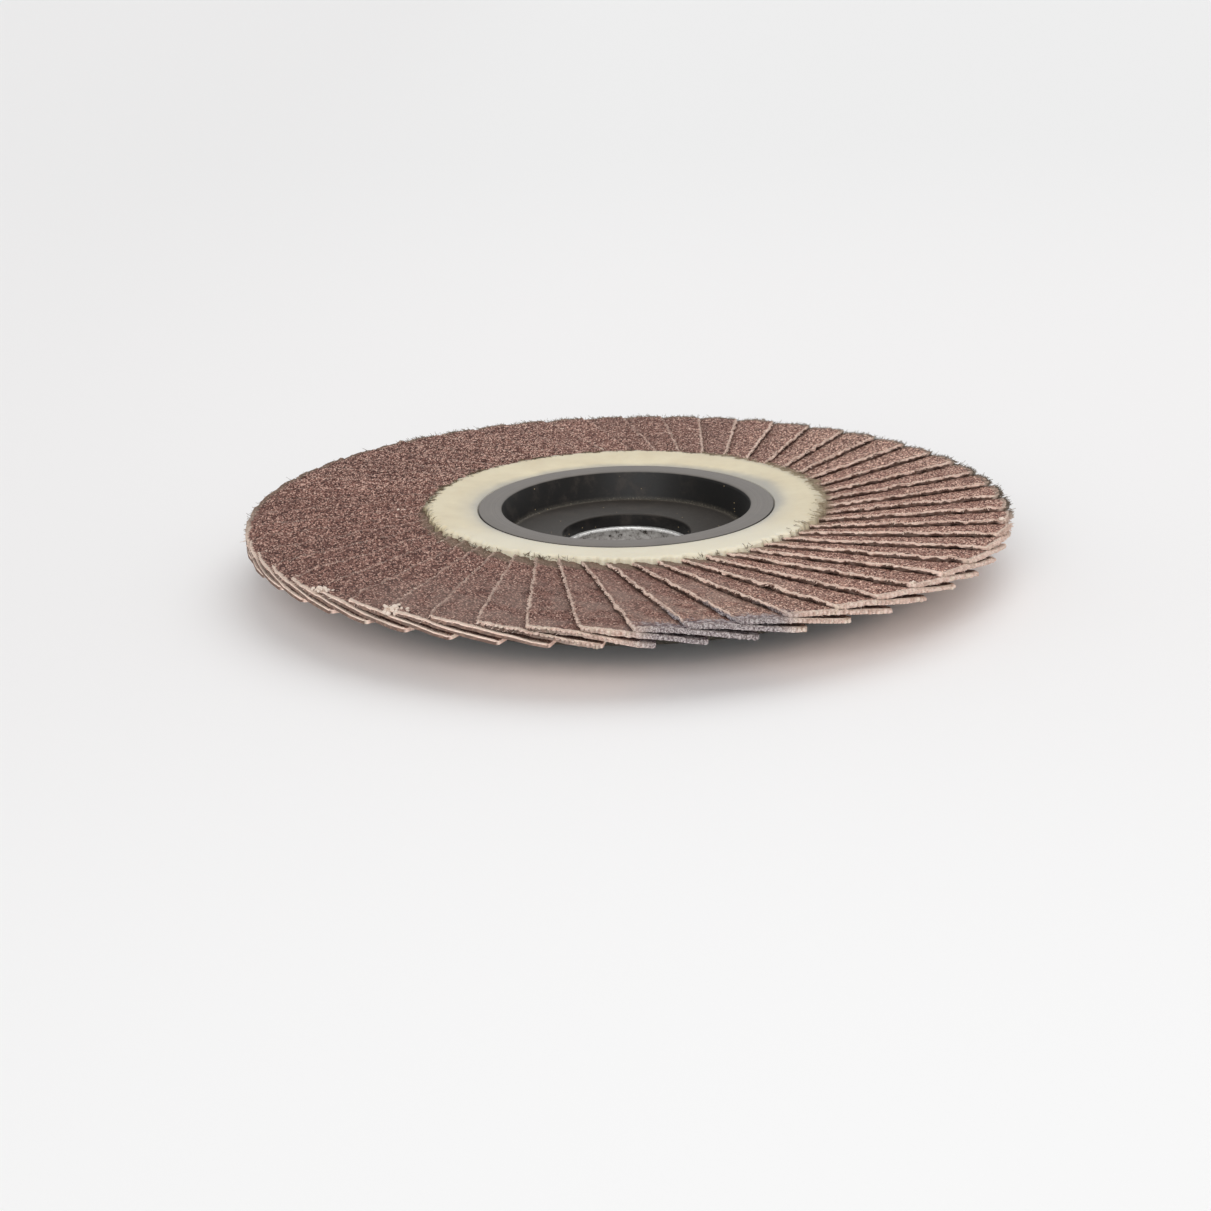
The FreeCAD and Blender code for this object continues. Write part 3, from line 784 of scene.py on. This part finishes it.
def flap_sheet(materials):
    """One flap along +X: a plane lifted at its corners, cut, trimmed to the rim and given thickness."""
    bpy.ops.object.select_all(action="DESELECT")
    bpy.ops.mesh.primitive_plane_add(size=1)
    sheet = bpy.context.object
    for material in materials:
        sheet.data.materials.append(material)
    length = DISC_RADIUS - FLAP_ROOT_DISTANCE
    bpy.ops.object.mode_set(mode="EDIT")
    bpy.ops.transform.resize(value=(length, FLAP_WIDTH, 1))
    centre = (FLAP_ROOT_DISTANCE + length / 2, FLAP_WIDTH / 2 - EXPOSED_EDGE_OFFSET, 0)
    bpy.ops.transform.translate(value=centre)
    for distance in (FLAP_ROOT_DISTANCE, DISC_RADIUS):
        for side in (-EXPOSED_EDGE_OFFSET, HIDDEN_EDGE_OFFSET):
            pick("verts", lambda v: math.hypot(v.co.x - distance, v.co.y - side) < 0.1 * MM)
            bpy.ops.transform.translate(value=(0, 0, flap_top(distance, side)))
    bpy.ops.mesh.select_all(action="SELECT")
    strip_side = OPEN_STRIP - EXPOSED_EDGE_OFFSET
    bpy.ops.mesh.bisect(plane_co=(0, strip_side, 0), plane_no=(0, 1, 0))

    def lies_across(edge):
        step = edge.verts[1].co - edge.verts[0].co
        return abs(step.y) > abs(step.x)

    def middle(edge):
        return (edge.verts[0].co.y + edge.verts[1].co.y) / 2

    pick("edges", lambda edge: lies_across(edge) and middle(edge) < strip_side)
    bpy.ops.mesh.subdivide(number_cuts=OPEN_STRIP_CUTS)
    pick("edges", lambda edge: lies_across(edge) and middle(edge) > strip_side)
    bpy.ops.mesh.subdivide(number_cuts=BURIED_CUTS)
    columns = sorted({round(v.co.y / MM, 4) for v in bmesh.from_edit_mesh(sheet.data).verts})
    pick("edges", lambda edge: not lies_across(edge))
    bpy.ops.mesh.subdivide(number_cuts=LENGTH_CUTS)
    for column in columns:
        trimmed = math.sqrt((DISC_RADIUS - END_RECESS) ** 2 - (column * MM) ** 2) - FLAP_ROOT_DISTANCE
        pick("verts", lambda v: abs(v.co.y - column * MM) < 0.001 * MM)
        bpy.ops.transform.resize(value=(trimmed / length, 1, 1), center_override=(FLAP_ROOT_DISTANCE, 0, 0))
    bpy.ops.mesh.select_mode(type="FACE")
    bpy.ops.mesh.select_all(action="SELECT")
    for layer in (GRAIN_DEPTH, PALE_DEPTH - GRAIN_DEPTH, SHEET_THICKNESS - PALE_DEPTH):
        bpy.ops.mesh.extrude_region_move(TRANSFORM_OT_translate={"value": (0, 0, -layer)})

    def depth(co):
        return flap_top(co.x, co.y) - co.z

    pick("faces", lambda face: depth(face.calc_center_median()) > GRAIN_DEPTH)
    sheet.active_material_index = 1
    bpy.ops.object.material_slot_assign()
    edge_line = 0.001 * MM - EXPOSED_EDGE_OFFSET
    pick("verts", lambda v: v.co.y < edge_line and depth(v.co) > PALE_DEPTH + 0.01 * MM)
    bpy.ops.transform.translate(value=(0, EDGE_UNDERCUT, 0))
    bpy.ops.mesh.select_all(action="SELECT")
    bpy.ops.mesh.normals_make_consistent(inside=False)
    bpy.ops.object.mode_set(mode="OBJECT")
    grain_group = sheet.vertex_groups.new(name="grain")
    cut_group = sheet.vertex_groups.new(name="cut")
    depths = sheet.data.attributes.new("depth", "FLOAT", "POINT")
    depths.data.foreach_set("value", [depth(vertex.co) / MM for vertex in sheet.data.vertices])
    for vertex in sheet.data.vertices:
        to_edge = vertex.co.y + EXPOSED_EDGE_OFFSET
        to_end = DISC_RADIUS - math.hypot(vertex.co.x, vertex.co.y)
        frayed = max(0.0, 1 - min(to_edge, to_end) / FRAYED_DEPTH)
        frayed *= END_FRAY_SHARE if to_end < to_edge else 1.0
        cut_group.add([vertex.index], frayed, "REPLACE")
        if depth(vertex.co) < GRAIN_DEPTH / 2:
            grain_group.add([vertex.index], 1.0, "REPLACE")
    return sheet


def yarn(name, radius, length, sides, steps, taper, looseness, material):
    """Bit of yarn along +X from the origin: a small disc drawn out and thinned step by step."""
    bpy.ops.object.select_all(action="DESELECT")
    bpy.ops.mesh.primitive_circle_add(vertices=sides, radius=radius, fill_type="NGON")
    strand = bpy.context.object
    strand.name = name
    bpy.ops.object.mode_set(mode="EDIT")
    bpy.ops.transform.rotate(value=math.pi / 2, orient_axis="Y", center_override=(0, 0, 0))
    for step in range(1, steps + 1):
        reach = length * step / steps
        bpy.ops.mesh.extrude_region_move(TRANSFORM_OT_translate={"value": (length / steps, 0, 0)})
        bpy.ops.transform.resize(value=(1, taper, taper), center_override=(reach, 0, 0))
    bpy.ops.mesh.select_all(action="SELECT")
    bpy.ops.mesh.normals_make_consistent(inside=False)
    bpy.ops.object.mode_set(mode="OBJECT")
    strand.data.materials.append(material)
    loose = strand.vertex_groups.new(name="loose")
    for vertex in strand.data.vertices:
        loose.add([vertex.index], looseness * min(1.0, vertex.co.x / length), "REPLACE")
    alone(strand)
    bpy.ops.object.shade_smooth()
    return strand


def copy_of(piece, place):
    """Copy of a piece with its own mesh, moved by a matrix."""
    copy = piece.copy()
    copy.data = piece.data.copy()
    copy.data.transform(place)
    bpy.context.collection.objects.link(copy)
    return copy


def join(main, others):
    """Joins pieces into the main one."""
    alone(main)
    for other in others:
        other.select_set(True)
    bpy.ops.object.join()


def pointing(direction, at, stretch):
    """Matrix that lays a bit of yarn from a point along a direction, stretched in length."""
    turn = Vector((1, 0, 0)).rotation_difference(direction)
    return Matrix.Translation(at) @ turn.to_matrix().to_4x4() @ Matrix.Diagonal((stretch, 1, 1, 1))


def at_edge(distance, side, depth):
    """Point on a flap at a depth below its grain face."""
    return Vector((distance, side, flap_top(distance, side) - depth))


def fringe(bead, stub, hair, beads, hairs):
    """Beads of cut yarn and hairs at the outer end, and thin yarn ends on the exposed edge."""
    bits = []
    for index in range(beads):
        side = (index + random.uniform(0.35, 0.65)) * BEAD_PITCH - EXPOSED_EDGE_OFFSET
        reach = math.sqrt(DISC_RADIUS**2 - side**2) - random.uniform(0.08, 0.26) * MM
        at = at_edge(reach, side, SHEET_THICKNESS * random.uniform(0.38, 0.58))
        size = Matrix.Diagonal((1.1, random.uniform(0.78, 1.02), random.uniform(0.75, 1.08), 1))
        bits.append(copy_of(bead, Matrix.Translation(at) @ size))
    for index in range(int((FLAP_END_DISTANCE - FLAP_ROOT_DISTANCE) / YARN_PITCH)):
        distance = FLAP_ROOT_DISTANCE + (index + random.random()) * YARN_PITCH
        at = at_edge(distance, STUB_INSET - EXPOSED_EDGE_OFFSET, STUB_DEPTH)
        direction = Vector((random.uniform(-0.5, 0.5), -1, random.uniform(-0.3, 0.3)))
        bits.append(copy_of(stub, pointing(direction, at, random.uniform(0.5, 1.1))))
    for index in range(hairs):
        side = random.uniform(-EXPOSED_EDGE_OFFSET, OPEN_STRIP - EXPOSED_EDGE_OFFSET)
        reach = math.sqrt(DISC_RADIUS**2 - side**2) - END_RECESS
        at = at_edge(reach, side, random.uniform(0.0, 0.8) * SHEET_THICKNESS)
        direction = Vector((1, random.uniform(-1.2, 1.2), random.uniform(-0.4, 0.8)))
        stretch = random.uniform(0.9, 1.5) if index % LONG_HAIR_EVERY == 0 else random.uniform(0.45, 0.95)
        bits.append(copy_of(hair, pointing(direction, at, stretch)))
    return bits


def fibre_ball(name, radius, looseness, depth, material):
    """Small ball of cut yarn or loosened fibre, to be pulled out of shape as a flap is roughened."""
    bpy.ops.object.select_all(action="DESELECT")
    bpy.ops.mesh.primitive_ico_sphere_add(subdivisions=2, radius=radius)
    ball = bpy.context.object
    ball.name = name
    ball.data.materials.append(material)
    depths = ball.data.attributes.new("depth", "FLOAT", "POINT")
    depths.data.foreach_set("value", [depth(vertex.co.z / MM) for vertex in ball.data.vertices])
    loose = ball.vertex_groups.new(name="loose")
    loose.add(range(len(ball.data.vertices)), looseness, "REPLACE")
    alone(ball)
    bpy.ops.object.shade_smooth()
    return ball


def tuft(lump, at, size):
    """Clump of loosened fibre at a point."""
    bits = []
    for _ in range(int(LUMPS_IN_TUFT * size)):
        offset = Vector((random.gauss(0, 0.2), random.gauss(0, 0.36), random.gauss(0, 0.1))) * MM * size
        direction = Vector((random.uniform(-1, 1), random.uniform(-1, 1), random.uniform(-0.4, 0.4)))
        squeeze = Matrix.Diagonal((1, random.uniform(0.7, 1.1), random.uniform(0.5, 0.8), 1))
        place = pointing(direction, at + offset, random.uniform(0.9, 1.5)) @ squeeze
        bits.append(copy_of(lump, place @ Matrix.Scale(size ** 0.5 * random.uniform(0.6, 1.1), 4)))
    return bits


def rough_texture(name, grain_size, colourful=False):
    """Cloud noise for a Displace modifier."""
    texture = bpy.data.textures.new(name, "CLOUDS")
    texture.noise_scale = grain_size
    texture.noise_depth = 2
    texture.cloud_type = "COLOR" if colourful else "GRAYSCALE"
    return texture


def lift_group(flap):
    """Weights for the lift of a flap behind its exposed edge, which stays lying on the next flap."""
    group = flap.vertex_groups.new(name="lift")
    for vertex in flap.data.vertices:
        across = (vertex.co.y + EXPOSED_EDGE_OFFSET) / (vertex.co.x * FLAP_PITCH)
        covered = share_between(across, 0, 1)
        share = share_between(vertex.co.x, FLAP_ROOT_DISTANCE, DISC_RADIUS)
        by_length = BACK_LIFT_AT_ROOT + (1 - BACK_LIFT_AT_ROOT) * share
        group.add([vertex.index], by_length * (1 - (1 - covered) ** 1.4), "REPLACE")


def pull_corner(flap, side, step, reach):
    """Moves one outer corner of a flap by a step, and what lies within reach of it by less."""
    corner = Vector((math.sqrt(DISC_RADIUS**2 - side**2), side))
    alone(flap)
    bpy.ops.object.mode_set(mode="EDIT")
    pick("verts", lambda v: (v.co.xy - corner).length < 0.2 * MM)
    bpy.ops.transform.translate(
        value=step,
        use_proportional_edit=True,
        proportional_edit_falloff="SMOOTH",
        proportional_size=reach,
    )
    bpy.ops.object.mode_set(mode="OBJECT")


def flap_blanks():
    """Flaps to copy from, each frayed in its own way and lifted behind the exposed edge."""
    cloth = cloth_finish()
    sheet = flap_sheet([grain_finish(), cloth])
    bead = fibre_ball("bead", BEAD_RADIUS, 0.2, lambda height: SHEET_THICKNESS / MM / 2 - height, cloth)
    lump = fibre_ball("lump", LUMP_RADIUS, 0.25, lambda height: -1.0, cloth)
    stub = yarn("stub", STUB_RADIUS, STUB_LENGTH, 5, 3, 0.86, 0.45, cloth)
    hair = yarn("hair", HAIR_RADIUS, HAIR_LENGTH, 3, 3, 0.8, 0.5, cloth)
    blanks = {}
    for kind, index in itertools.product(BEADS_AND_HAIRS, range(FRINGE_SETS)):
        blank = copy_of(sheet, Matrix.Identity(4))
        join(blank, fringe(bead, stub, hair, *BEADS_AND_HAIRS[kind]))
        lift_group(blank)
        finish_with(blank, "DISPLACE", vertex_group="lift", direction="Z", strength=BACK_LIFT, mid_level=0.0)
        pull_corner(blank, -EXPOSED_EDGE_OFFSET, *EXPOSED_CORNER_WEAR)
        pull_corner(blank, HIDDEN_EDGE_OFFSET, *HIDDEN_CORNER_WEAR)
        blanks[kind, index] = blank
    return blanks, [lump, sheet, bead, stub, hair]


def end_kind(angle):
    """How a flap's outer end is frayed, by its angle round the axis."""
    if math.sin(angle) > FUZZY_ABOVE_SINE and math.cos(angle) > FUZZY_ABOVE_COSINE:
        return "fuzzy"
    return "plain" if math.cos(angle) < PLAIN_BELOW_COSINE else "beaded"


def roughen(flap, texture, group, strength):
    """Pushes a group of points about in all directions."""
    settings = {"texture": texture, "vertex_group": group, "strength": strength, "mid_level": 0.5}
    finish_with(flap, "DISPLACE", direction="RGB_TO_XYZ", **settings)


def flaps():
    """The ring of flaps, each a copy of one blank with its own roughness, fray and tint."""
    blanks, spares = flap_blanks()
    lump = spares[0]
    grit = rough_texture("grit", GRIT_SIZE)
    wave = rough_texture("wave", WAVE_SIZE, colourful=True)
    curl = rough_texture("curl", CURL_SIZE, colourful=True)
    ripple = rough_texture("ripple", RIPPLE_SIZE)
    for index, node in enumerate(FLAP_NODES):
        angle = FIRST_FLAP_ANGLE + index * FLAP_PITCH
        turn = Matrix.Rotation(angle, 4, "Z")
        flap = copy_of(blanks[end_kind(angle), index % FRINGE_SETS], turn)
        flap.name = f"cloth_{node}"
        for tufted, distance, step_in, size in TUFTS:
            if tufted == node:
                bits = tuft(lump, at_edge(distance * MM, step_in * MM - EXPOSED_EDGE_OFFSET, 0.0), size)
                for bit in bits:
                    bit.data.transform(turn)
                join(flap, bits)
        finish_with(flap, "DISPLACE", texture=ripple, direction="Z", strength=RIPPLE_HEIGHT, mid_level=0.5)
        finish_with(flap, "DISPLACE", texture=grit, vertex_group="grain", strength=GRIT_HEIGHT, mid_level=0.5)
        roughen(flap, wave, "cut", WAVE_REACH)
        roughen(flap, curl, "cut", CURL_REACH)
        roughen(flap, curl, "loose", LOOSE_CURL_REACH)
        tint = flap.data.attributes.new("tint", "FLOAT", "POINT")
        tint.data.foreach_set("value", [random.random()] * len(flap.data.vertices))
        alone(flap)
        bpy.ops.object.shade_smooth_by_angle(angle=math.radians(60))
        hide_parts(node)
        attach(flap, "root")
    for spare in [*blanks.values(), *spares]:
        bpy.data.objects.remove(spare)


def floor():
    """Wide floor, just below the disc."""
    bpy.ops.object.select_all(action="DESELECT")
    bpy.ops.mesh.primitive_plane_add(size=FLOOR_SIDE, location=(0, 0, -FLOOR_GAP))
    ground = bpy.context.object
    ground.name = "floor"
    ground.data.materials.append(floor_finish())


def sun(name, place, strength, spread):
    """Distant soft lamp whose light comes from a direction, spread over an angle in degrees."""
    light = bpy.data.lights.new(name, "SUN")
    light.energy = strength
    light.angle = math.radians(spread)
    holder = bpy.data.objects.new(name, light)
    bpy.context.collection.objects.link(holder)
    holder.rotation_euler = (-Vector(place)).to_track_quat("-Z", "Y").to_euler()


def lighting():
    """Even pale surroundings, a soft light from above and behind, and a stronger one from the front."""
    world = bpy.data.worlds.new("studio")
    bpy.context.scene.world = world
    world.use_nodes = True
    tree = world.node_tree
    tree.nodes.clear()
    rays = tree.nodes.new("ShaderNodeLightPath")
    seen = tree.nodes.new("ShaderNodeMath")
    seen.operation = "MAXIMUM"
    tree.links.new(rays.outputs["Is Camera Ray"], seen.inputs[0])
    tree.links.new(rays.outputs["Is Glossy Ray"], seen.inputs[1])
    strength = tree.nodes.new("ShaderNodeMapRange")
    tree.links.new(seen.outputs[0], strength.inputs["Value"])
    strength.inputs["To Min"].default_value = SKY_ON_OBJECT
    strength.inputs["To Max"].default_value = SKY_AS_SEEN
    sky = tree.nodes.new("ShaderNodeBackground")
    sky.inputs["Color"].default_value = (1, 1, 1, 1)
    tree.links.new(strength.outputs[0], sky.inputs["Strength"])
    out = tree.nodes.new("ShaderNodeOutputWorld")
    tree.links.new(sky.outputs[0], out.inputs["Surface"])
    sun("key", *KEY_LAMP)
    sun("front", *FRONT_LAMP)


def camera():
    """Camera at the picture's viewing angle."""
    right = Vector((1, 0, 0))
    down = Vector((0, -math.sin(CAMERA_PITCH), -math.cos(CAMERA_PITCH)))
    ahead = Vector((0, math.cos(CAMERA_PITCH), -math.sin(CAMERA_PITCH)))
    turned_right = right * math.cos(CAMERA_ROLL) - down * math.sin(CAMERA_ROLL)
    turned_down = right * math.sin(CAMERA_ROLL) + down * math.cos(CAMERA_ROLL)
    half = PICTURE_SIDE / 2
    shift_right = (HUB_RIM_PIXEL[0] - half) / FOCAL_PIXELS * CAMERA_DISTANCE
    shift_down = (HUB_RIM_PIXEL[1] - half) / FOCAL_PIXELS * CAMERA_DISTANCE
    hub_rim = Vector((0, 0, HUB_HEIGHT))
    place = hub_rim - turned_right * shift_right - turned_down * shift_down - ahead * CAMERA_DISTANCE
    data = bpy.data.cameras.new("camera")
    data.sensor_width = SENSOR_WIDTH
    data.lens = SENSOR_WIDTH * FOCAL_PIXELS / PICTURE_SIDE
    data.clip_start = 0.01
    data.clip_end = 50
    holder = bpy.data.objects.new("camera", data)
    bpy.context.collection.objects.link(holder)
    axes = Matrix((turned_right, -turned_down, -ahead)).transposed()
    holder.matrix_world = Matrix.Translation(place) @ axes.to_4x4()
    bpy.context.scene.camera = holder


camera()
lighting()
floor()
hub()
sleeve()
resin()
flaps()
bpy.context.scene.view_settings.view_transform = "Standard"
